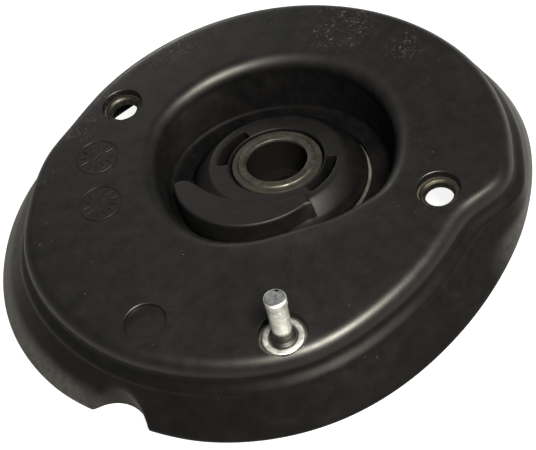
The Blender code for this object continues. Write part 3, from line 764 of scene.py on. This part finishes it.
def crescent_points():
    """The outlines of the crescent's foot and top; at its right end the foot is pushed out to the knee."""
    outer = arc(CRESCENT_CENTRE, CRESCENT_RADIUS, *CRESCENT_ARC, 60)
    kept = [p for p in outer if math.atan2(p[1], p[0]) < CRESCENT_END or p[0] < 0]
    for reach in CRESCENT_END_REACHES:
        kept.append((reach * math.cos(CRESCENT_END), reach * math.sin(CRESCENT_END)))
    spread = [max(1.0, CRESCENT_FOOT / math.hypot(x, y)) for x, y in kept[:-1]] + [1.0]
    foot = [(x * share, y * share) for (x, y), share in zip(kept, spread)]
    inner = arc(CRESCENT_INNER_CENTRE, CRESCENT_INNER_RADIUS, *CRESCENT_INNER_ARC, 24)
    first, last = Vector(inner[-1]), Vector(outer[0])
    inner += curve(first, (first + last) / 2 + CRESCENT_HORN, last, np.linspace(0, 1, 9)[1:-1])
    return foot + inner, kept + inner


def softened(body):
    """A fine remesh and a little smoothing, which round every edge as a mould does."""
    remesh = body.modifiers.new("remesh", "REMESH")
    remesh.mode, remesh.voxel_size = "VOXEL", BUSH_VOXEL
    smooth = body.modifiers.new("smooth", "SMOOTH")
    smooth.factor, smooth.iterations = 0.5, 3


def bush_mesh():
    """The turned body and the crescent joined, the two slots cut, and every edge softened."""
    low = -FLANGE_DEPTH + FLANGE_EDGE
    shapes = [("UNION", slab_mesh("crescent", *crescent_points(), low, -CRESCENT_TOP, CRESCENT_BEVEL))]
    for angle in (SLOT_ANGLE, SLOT_ANGLE + 180):
        start, end = angle - SLOT_ARC / 2, angle + SLOT_ARC / 2
        edge = arc((0, 0), SLOT_OUTER, start, end, 24) + arc((0, 0), SLOT_INNER, end, start, 24)
        shapes.append(("DIFFERENCE", slab_mesh("slot", edge, edge, -2 * SHELL_BOTTOM, SHELL_BOTTOM)))
    mesh = worked(lathe_mesh("bush", bush_profile(), None, BUSH_STEPS), shapes, softened)
    mesh.transform(strut_matrix)
    return mesh


bush_rubber = moulded_rubber("bush_rubber", 0.6, 0.0060, 0.0125, 0.20)
add_piece("bush", bush_mesh(), bush_rubber, "rubber_bush")


# The sleeve: turned steel tube with a stepped flange at its head, bonded in the bush. A nut on the strut's
# rod clamps it. Its end face is machined, dull and browned; the bore and the step round the face are painted
# dark as shade.
SLEEVE_LENGTH = 0.0208
SLEEVE_FACE_RADIUS = 0.0164
SLEEVE_CHAMFER = 0.0006
SLEEVE_ROUND = 0.0005
SEAT_BORE = 0.0090
SEAT = 0.0030
BORE_MARGIN = 0.0002
BORE_SHADE_DROP = 0.0004
BORE_FADE = 0.0010
BORE_RING_DROP = 0.0018
STEP_SHADE = 0.8
STEP_MARGIN = 0.0003


def rounded(profile, radius, steps=4):
    """A closed (radius, height) profile with each corner cut to an arc, drawn as a quadratic curve."""
    points = [Vector(point) for point in profile]
    made = []
    for k, point in enumerate(points):
        before, after = points[k - 1] - point, points[(k + 1) % len(points)] - point
        cut = min(radius, 0.45 * before.length, 0.45 * after.length)
        first, last = point + cut * before.normalized(), point + cut * after.normalized()
        made += curve(first, point, last, np.linspace(0, 1, steps))
    return made


def shade_turned(mesh, matrix, bore, top, face):
    """Keeps a shade for each point: none on the end face, some on the step, and more down the bore.

    Inside the bore's radius it is the depth below the top over the fade; outside the face's it is even."""
    points = np.zeros(3 * len(mesh.vertices), np.float32)
    mesh.vertices.foreach_get("co", points)
    points = (points.reshape(-1, 3) - np.array(matrix.translation)) @ np.array(matrix.to_3x3())
    far = np.hypot(points[:, 0], points[:, 1])
    down = np.clip((top - points[:, 2]) / BORE_FADE, 0, 1)
    shade = np.where(far < bore + BORE_MARGIN, down, np.where(far > face, STEP_SHADE, 0.0))
    mesh.attributes.new("shade", "FLOAT", "POINT").data.foreach_set("value", shade.astype(np.float32))


def turned_steel(name, light, dark, roughness, stain, stain_share):
    """Turned steel: cloudy colour, stain in patches, uneven polish and a fine grain, dark where shaded."""
    material, tree, shader, place = new_material(name, light, roughness, 1.0)
    cloud = ramp(tree, noise(tree, place, 190, 5), 0.32, 0.7)
    color = mix_color(tree, cloud, dark, light)
    patch = ramp(tree, noise(tree, place, 120, 7, 0.7, 0.6), 0.48, 0.72, 0.0, stain_share)
    color = mix_color(tree, patch, color, stain)
    shade = tree.nodes.new("ShaderNodeAttribute")
    shade.attribute_name = "shade"
    shade = shade.outputs["Fac"]
    color = mix_color(tree, shade, color, (0.0045, 0.0043, 0.0041))
    tree.links.new(color, shader.inputs["Base Color"])
    bare = math_node(tree, "SUBTRACT", 1.0, shade)
    tree.links.new(bare, shader.inputs["Metallic"])
    tree.links.new(math_node(tree, "MULTIPLY", bare, 0.5), shader.inputs["Specular IOR Level"])
    polish = ramp(tree, noise(tree, place, 420, 4), 0.3, 0.7, roughness - 0.07, roughness + 0.10)
    polish = math_node(tree, "MAXIMUM", polish, math_node(tree, "MULTIPLY", shade, 0.7))
    tree.links.new(polish, shader.inputs["Roughness"])
    bumps(tree, shader, [
        (noise(tree, place, 1700, 3), 0.00002, 0.6),
        (noise(tree, place, 240, 3), 0.00007, 0.35),
    ])
    return material


flange_foot, sleeve_end = -SLEEVE_TOP - SLEEVE_FLANGE, -SLEEVE_TOP - SLEEVE_LENGTH
sleeve_profile = [
    (SLEEVE_BORE, -SLEEVE_TOP), (SLEEVE_FACE_RADIUS, -SLEEVE_TOP),
    (SLEEVE_FACE_RADIUS + SLEEVE_CHAMFER, -SLEEVE_TOP - SLEEVE_STEP),
    (SLEEVE_FLANGE_RADIUS, -SLEEVE_TOP - SLEEVE_STEP), (SLEEVE_FLANGE_RADIUS, flange_foot),
    (SLEEVE_BODY_RADIUS, flange_foot), (SLEEVE_BODY_RADIUS, sleeve_end), (SEAT_BORE, sleeve_end),
    (SEAT_BORE, sleeve_end + SEAT), (SLEEVE_BORE, sleeve_end + SEAT),
    (SLEEVE_BORE, -SLEEVE_TOP - BORE_RING_DROP),
]
sleeve_steel = turned_steel(
    "sleeve_steel", (0.110, 0.104, 0.093), (0.070, 0.066, 0.058), 0.52, (0.040, 0.034, 0.026), 0.6)
sleeve_mesh = lathe_mesh("sleeve", rounded(sleeve_profile, SLEEVE_ROUND), strut_matrix, BUSH_STEPS)
shade_turned(sleeve_mesh, strut_matrix, SLEEVE_BORE, -SLEEVE_TOP - BORE_SHADE_DROP,
             SLEEVE_FACE_RADIUS + STEP_MARGIN)
add_piece("sleeve", sleeve_mesh, sleeve_steel, "inner_sleeve")


# The bolt collars: short flanged steel bushes that stand on the carrier, so that a bolt clamps on steel and
# not on rubber. They are turned, and dulled and browned by use.
COLLAR_RADIUS = 0.0079
COLLAR_FLANGE = 0.0009
COLLAR_LEAD = 0.0010
COLLAR_ROUND = 0.0004

collar_top, collar_outer = GAP + COLLAR_FLANGE, COLLAR_BORE + COLLAR_WALL
collar_profile = [
    (COLLAR_BORE + COLLAR_LEAD, collar_top), (COLLAR_RADIUS, collar_top), (COLLAR_RADIUS, GAP),
    (collar_outer, GAP), (collar_outer, -STEEL - GAP), (COLLAR_BORE, -STEEL - GAP),
    (COLLAR_BORE, collar_top - COLLAR_LEAD),
]
collar_steel = turned_steel(
    "collar_steel", (0.080, 0.075, 0.065), (0.045, 0.042, 0.036), 0.52, (0.035, 0.030, 0.023), 0.6)
for side, place in FIXING_HOLES.items():
    name = side + "_bolt_collar"
    turned = lathe_mesh(name, rounded(collar_profile, COLLAR_ROUND), on_top(place, CARRIER_TOP), RING_STEPS)
    add_piece(name, turned, collar_steel, side + "_collar")


# The stud: a bright plated M8 stud, pressed through the carrier from below, with a plain rounded tip, a
# rolled thread and a small foot; the body's nut goes on it. It leans a little, as in the photo.
STUD_HEIGHT = 0.02348
STUD_END = STUD_HEIGHT + TOP - CARRIER_TOP
STUD_LEAN = math.radians(3.5)
STUD_RADIUS = 0.0040
STUD_STEPS = 48
THREAD_PITCH = 0.0010
THREAD_DEPTH = 0.00010
THREAD_TOP_GAP = 0.0009
THREAD_FOOT_GAP = 0.0011
STUD_TIP_RADIUS = 0.0043
STUD_TIP = 0.0045
STUD_NOSE = 0.0009
STUD_FOOT_RADIUS = 0.0051
STUD_FOOT = 0.0011
STUD_HEAD_RADIUS = 0.0054
STUD_HEAD = 0.0026
NEARLY_NONE = 0.00001
# Painted shade round the stud's foot, reaching the eyelet's inner part.
FOOT_SHADE_HEIGHT = 0.0035
FOOT_SHADE_REACH = 0.0050
FOOT_SHADE_FADE = 0.0020
TIP_DULL_REACH = 0.0037
NICK_PLACE = (0.0016, 0.0030)
NICK_REACH = 0.0007
MARK_FADE = 0.0005
stud_place = on_top(STUD_PLACE, CARRIER_TOP).to_translation()
stud_matrix = Matrix.Translation(stud_place) @ Matrix.Rotation(STUD_LEAN, 4, "Y")


def stud_rows():
    """A turned outline with a helical thread: the groove follows height less angle, per pitch."""
    rise = STUD_FOOT_RADIUS * math.sin(STUD_LEAN)
    under, foot = -STEEL - GAP - rise, GAP + rise
    top, low = STUD_END - STUD_TIP - THREAD_TOP_GAP, foot + STUD_FOOT + THREAD_FOOT_GAP
    bottom, shoulder = under - STUD_HEAD, STUD_END - STUD_NOSE
    outline_low = [(NEARLY_NONE, bottom), (STUD_HEAD_RADIUS, bottom), (STUD_HEAD_RADIUS, under)]
    outline_low += [(STUD_RADIUS, under), (STUD_RADIUS, foot)]
    outline_low += [(STUD_FOOT_RADIUS, foot), (STUD_FOOT_RADIUS, foot + STUD_FOOT)]
    nose = [(STUD_TIP_RADIUS, STUD_END - STUD_TIP), (STUD_TIP_RADIUS, shoulder)]
    for a in np.linspace(0.2, math.pi / 2, 6):
        climb = STUD_NOSE * (1 - math.cos(a)) ** 0.5
        nose.append((STUD_TIP_RADIUS - STUD_NOSE * math.sin(a), shoulder + climb))
    nose.append((NEARLY_NONE, STUD_END))
    heights = np.linspace(low, top, round((top - low) / THREAD_PITCH * 12))
    profile = np.array(outline_low + [(STUD_RADIUS, height) for height in heights] + nose)
    turn = np.linspace(0, FULL_TURN, STUD_STEPS, endpoint=False)[None]
    radius, height = profile[:, :1], profile[:, 1:]
    phase = np.mod(height / THREAD_PITCH - turn / FULL_TURN, 1)
    groove = np.clip(1.25 - 2.9 * np.abs(phase - 0.5), 0, 1)
    fade = np.clip(np.minimum(height - low, top - height) / THREAD_PITCH, 0, 1)
    radius = radius - THREAD_DEPTH * groove * fade
    flat = [radius * np.cos(turn), radius * np.sin(turn), np.broadcast_to(height, radius.shape)]
    return np.stack(flat, -1)


def ended_mesh(name, rows, matrix):
    """A skin over rows, closed by a face on the first and on the last row."""
    count, around = rows.shape[:2]
    place = np.arange(count * around).reshape(count, around)
    beside = np.roll(place, -1, 1)
    quads = np.stack([place[:-1], place[1:], beside[1:], beside[:-1]], -1).reshape(-1, 4)
    mesh = bpy.data.meshes.new(name)
    ends = [place[0].tolist(), place[-1].tolist()]
    mesh.from_pydata(rows.reshape(-1, 3), [], quads.tolist() + ends)
    mesh.transform(matrix)
    return outward(mesh)


def zinc_plate():
    """Bright zinc: a cool silver with cloudy dull patches, a trace of yellow, and a dull tip.

    Round the stud's foot, the eyelet's inner part too, the colour is painted dark as shade.
    """
    material, tree, shader, place = new_material("zinc_plate", (0.72, 0.73, 0.72), 0.30, 1.0)
    cloud = ramp(tree, noise(tree, place, 380, 5), 0.34, 0.68)
    color = mix_color(tree, cloud, (0.74, 0.75, 0.74), (0.93, 0.94, 0.92))
    warm = ramp(tree, noise(tree, place, 150, 5, 0.6, 0.5), 0.55, 0.75, 0.0, 0.6)
    color = mix_color(tree, warm, color, (0.62, 0.58, 0.44))
    # Painted shade round the foot.
    low = stud_place + Vector((0, 0, FOOT_SHADE_HEIGHT))
    foot = within(tree, place, low, FOOT_SHADE_REACH, FOOT_SHADE_FADE)
    color = mix_color(tree, foot, color, (0.075, 0.075, 0.072))
    tip = within(tree, place, stud_matrix @ Vector((0, 0, STUD_END)), TIP_DULL_REACH, MARK_FADE)
    color = mix_color(tree, tip, color, (0.33, 0.35, 0.37))
    nick = within(tree, place, stud_matrix @ Vector((*NICK_PLACE, STUD_END)), NICK_REACH, MARK_FADE)
    color = mix_color(tree, nick, color, (0.01, 0.01, 0.01))
    tree.links.new(color, shader.inputs["Base Color"])
    tree.links.new(ramp(tree, noise(tree, place, 500, 4), 0.3, 0.7, 0.40, 0.52), shader.inputs["Roughness"])
    bumps(tree, shader, [(noise(tree, place, 2600, 3), 0.00002, 0.5)])
    return material


zinc = zinc_plate()
add_piece("threaded_stud", ended_mesh("threaded_stud", stud_rows(), stud_matrix), zinc, "stud")


# The eyelet: a thick ring pressed from steel strip and plated bright like the stud, with well rounded edges.
# It lies on the carrier in the stud's recess, round the stud's foot.
EYELET_RADIUS = 0.0084
EYELET_THICKNESS = 0.0018
EYELET_CLEARANCE = 0.0006
EYELET_ROUND = 0.0007

hole, eyelet_top = STUD_FOOT_RADIUS + EYELET_CLEARANCE, GAP + EYELET_THICKNESS
eyelet_profile = [(hole, eyelet_top), (EYELET_RADIUS, eyelet_top), (EYELET_RADIUS, GAP), (hole, GAP)]
eyelet_profile = rounded(eyelet_profile, EYELET_ROUND, 6)
pressed = lathe_mesh("eyelet", eyelet_profile, Matrix.Translation(stud_place), RING_STEPS)
add_piece("eyelet", pressed, zinc, "stud_washer")


# The stage: a sheet that the camera sees as plain white, a dim ceiling that the rubber mirrors, and two soft
# lamps, one warm over the front and one small behind. None of it belongs to the part.
FLOOR_HALF = 1.5
FLOOR_DROP = 0.0002
FLOOR_WHITE = 0.88
BEHIND = (0.6, 0.8, 0)
BEHIND_REACH = 0.25
GLOSS_BEFORE = 0.10
GLOSS_BEHIND = 0.80
WORLD_FILL = 0.22
CEILING_HALF = 2.2
CEILING_HEIGHT = 1.3
CEILING_GLOW = 0.072


def white_floor():
    """White to the camera, pale in gloss behind the dish and dim before it, and grey to soft light."""
    material = bpy.data.materials.new("white_floor")
    material.use_nodes = True
    tree = material.node_tree
    shader = tree.nodes["Principled BSDF"]
    shader.inputs["Base Color"].default_value = (0.20, 0.20, 0.20, 1.0)
    shader.inputs["Roughness"].default_value = 0.9
    shader.inputs["Specular IOR Level"].default_value = 0.0
    shader.inputs["Emission Color"].default_value = (1.0, 1.0, 1.0, 1.0)
    path = tree.nodes.new("ShaderNodeLightPath")
    seen = math_node(tree, "MAXIMUM", path.outputs["Is Camera Ray"], path.outputs["Is Transmission Ray"])
    place = tree.nodes.new("ShaderNodeTexCoord").outputs["Object"]
    behind = tree.nodes.new("ShaderNodeVectorMath")
    behind.operation = "DOT_PRODUCT"
    behind.inputs[1].default_value = BEHIND
    tree.links.new(place, behind.inputs[0])
    gloss = ramp(tree, behind.outputs["Value"], 0.0, BEHIND_REACH, GLOSS_BEFORE, GLOSS_BEHIND)
    gloss = math_node(tree, "MULTIPLY", gloss, path.outputs["Is Glossy Ray"])
    glow = math_node(tree, "MAXIMUM", math_node(tree, "MULTIPLY", seen, FLOOR_WHITE), gloss)
    tree.links.new(glow, shader.inputs["Emission Strength"])
    return material


def dim_ceiling():
    """A soft grey ceiling, dimmer than the white sheet, so that the flat rubber mirrors something dark."""
    material = bpy.data.materials.new("dim_ceiling")
    material.use_nodes = True
    shader = material.node_tree.nodes["Principled BSDF"]
    shader.inputs["Base Color"].default_value = (0.02, 0.02, 0.02, 1.0)
    shader.inputs["Emission Color"].default_value = (1.0, 1.0, 1.0, 1.0)
    shader.inputs["Emission Strength"].default_value = CEILING_GLOW
    return material


def studio_world():
    """White where the camera looks, and a dim even fill for the rest."""
    world = bpy.data.worlds.new("studio")
    bpy.context.scene.world = world
    world.use_nodes = True
    tree = world.node_tree
    background = tree.nodes["Background"]
    background.inputs["Color"].default_value = (1.0, 1.0, 1.0, 1.0)
    path = tree.nodes.new("ShaderNodeLightPath")
    seen = math_node(tree, "MAXIMUM", path.outputs["Is Camera Ray"], path.outputs["Is Transmission Ray"])
    tree.links.new(ramp(tree, seen, 0.0, 1.0, WORLD_FILL, 1.0, False), background.inputs["Strength"])


def area_lamp(name, toward, distance, size, power, color=(1.0, 1.0, 1.0)):
    """A square soft lamp at a distance along a direction from the dish, facing it."""
    lamp = bpy.data.lights.new(name, "AREA")
    lamp.shape, lamp.size = "SQUARE", size
    lamp.energy, lamp.color = power, color
    item = bpy.data.objects.new(name, lamp)
    toward = Vector(toward).normalized()
    item.location = toward * distance
    item.rotation_euler = toward.to_track_quat("Z", "Y").to_euler()
    bpy.context.scene.collection.objects.link(item)


bpy.ops.mesh.primitive_plane_add(size=2 * FLOOR_HALF, location=(0, 0, -FLOOR_DROP))
floor = bpy.context.object
floor.name = "floor"
floor.data.materials.append(white_floor())

bpy.ops.mesh.primitive_plane_add(size=2 * CEILING_HALF, location=(0, 0, CEILING_HEIGHT))
ceiling = bpy.context.object
ceiling.name = "ceiling"
ceiling.data.materials.append(dim_ceiling())

studio_world()
area_lamp("key", (0.22, -0.52, 0.83), 1.1, 0.40, 38.0, (1.0, 0.95, 0.82))
area_lamp("back", (-0.10, 0.94, 0.30), 1.4, 0.16, 2.6, (1.0, 0.97, 0.90))

# The camera stands in front, above and turned a little. Its place and turn were fitted to the photo.
CAMERA_PLACE = Vector((-0.00031, -0.3714, 0.4479))
CAMERA_RIGHT = Vector((0.9507, -0.2394, -0.1973))
CAMERA_BACK = Vector((0.0, -0.6358, 0.7718))
FOCAL_PIXELS = 1349.0
PHOTO_WIDTH = 536

right = CAMERA_RIGHT.normalized()
up = CAMERA_BACK.cross(right).normalized()
back = right.cross(up).normalized()
camera_data = bpy.data.cameras.new("camera")
camera_data.sensor_width = 36.0
camera_data.lens = FOCAL_PIXELS / PHOTO_WIDTH * camera_data.sensor_width
camera = bpy.data.objects.new("camera", camera_data)
camera.matrix_world = Matrix.Translation(CAMERA_PLACE) @ Matrix((right, up, back)).transposed().to_4x4()
bpy.context.scene.collection.objects.link(camera)
bpy.context.scene.camera = camera
bpy.context.scene.view_settings.view_transform = "Standard"
